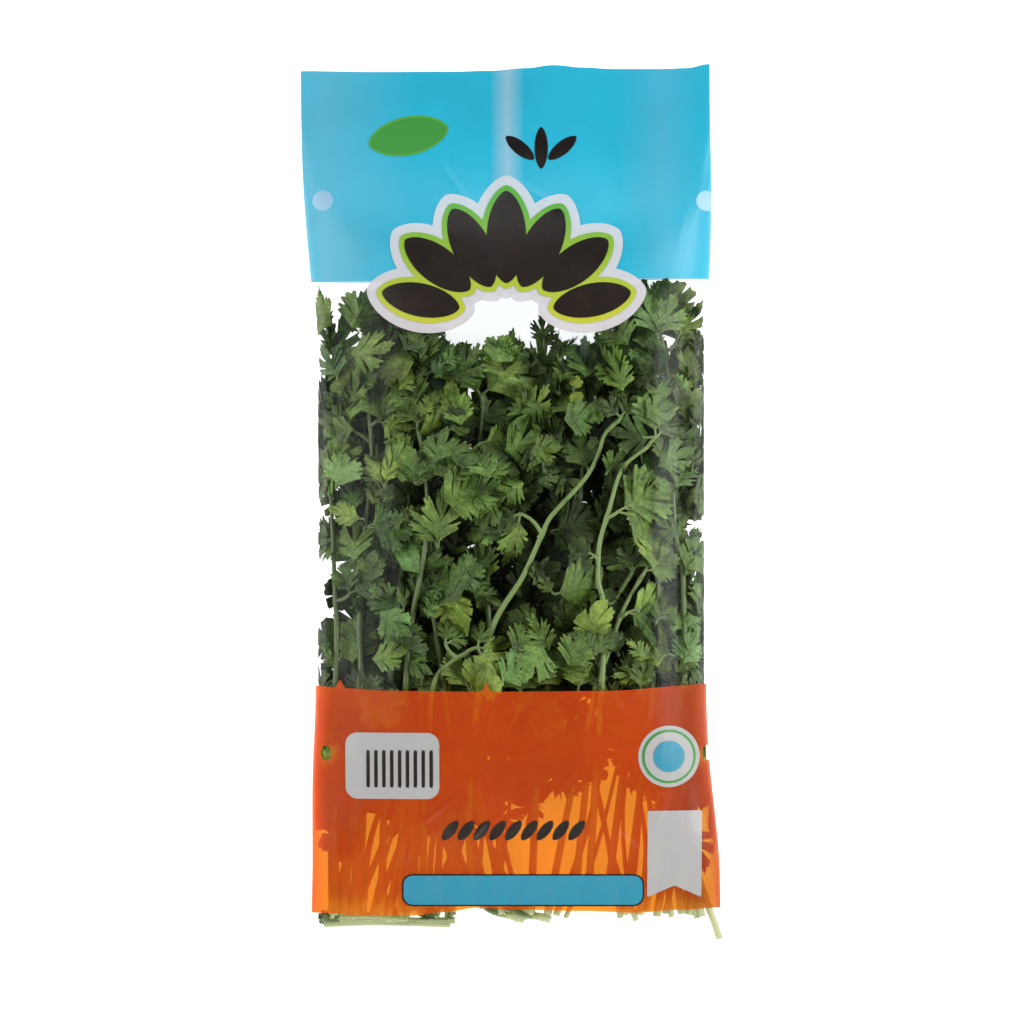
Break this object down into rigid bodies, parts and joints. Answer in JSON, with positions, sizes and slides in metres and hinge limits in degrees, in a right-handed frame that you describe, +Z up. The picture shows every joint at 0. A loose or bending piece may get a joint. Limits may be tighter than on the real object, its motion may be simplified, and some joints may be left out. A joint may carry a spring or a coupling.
{
  "type": "bagged coriander bunch",
  "caption": "Bunch of cut coriander, leaves and long stems, lying in a flat film sleeve with a blue header, a clear window and an orange foot.",
  "frame": {"origin": "under the middle of the sleeve, on the surface that it lies on", "axes": "+X across the sleeve to its right, +Y from the cut stem ends to the header, +Z up out of the front film"},
  "size_m": [0.1393, 0.2902, 0.0317],
  "materials": {
    "film": "thin clear glossy film, tinted blue at the header and orange at the foot",
    "stem": "smooth, moist, pale green",
    "leaf": "soft matt mid green, paler underneath"
  },
  "bodies": {
    "root": {"back_seam": "film", "film_sleeve": "film", "leaf_01_a": "leaf", "leaf_01_b": "leaf", "leaf_01_c": "leaf", "leaf_02_a": "leaf", "leaf_02_b": "leaf", "leaf_03_a": "leaf", "leaf_03_b": "leaf", "leaf_04_a": "leaf", "leaf_04_b": "leaf", "leaf_04_c": "leaf", "leaf_04_d": "leaf", "leaf_05_a": "leaf", "leaf_05_b": "leaf", "leaf_06_a": "leaf", "leaf_06_b": "leaf", "leaf_06_c": "leaf", "leaf_06_d": "leaf", "leaf_07_a": "leaf", "leaf_07_b": "leaf", "leaf_08_a": "leaf", "leaf_09_a": "leaf", "leaf_09_b": "leaf", "leaf_09_c": "leaf", "leaf_10_a": "leaf", "leaf_10_b": "leaf", "leaf_10_c": "leaf", "leaf_11_a": "leaf", "leaf_11_b": "leaf", "leaf_11_c": "leaf", "leaf_12_a": "leaf", "leaf_12_b": "leaf", "leaf_12_c": "leaf", "leaf_12_d": "leaf", "leaf_13_a": "leaf", "leaf_13_b": "leaf", "leaf_13_c": "leaf", "leaf_14_a": "leaf", "leaf_14_b": "leaf", "leaf_14_c": "leaf", "leaf_15_a": "leaf", "leaf_15_b": "leaf", "leaf_15_c": "leaf", "stem_01": "stem", "stem_02": "stem", "stem_03": "stem", "stem_04": "stem", "stem_05": "stem", "stem_06": "stem", "stem_07": "stem", "stem_08": "stem", "stem_09": "stem", "stem_10": "stem", "stem_11": "stem", "stem_12": "stem", "stem_13": "stem", "stem_14": "stem", "stem_15": "stem", "stem_stray": "stem"}
  },
  "joints": []
}
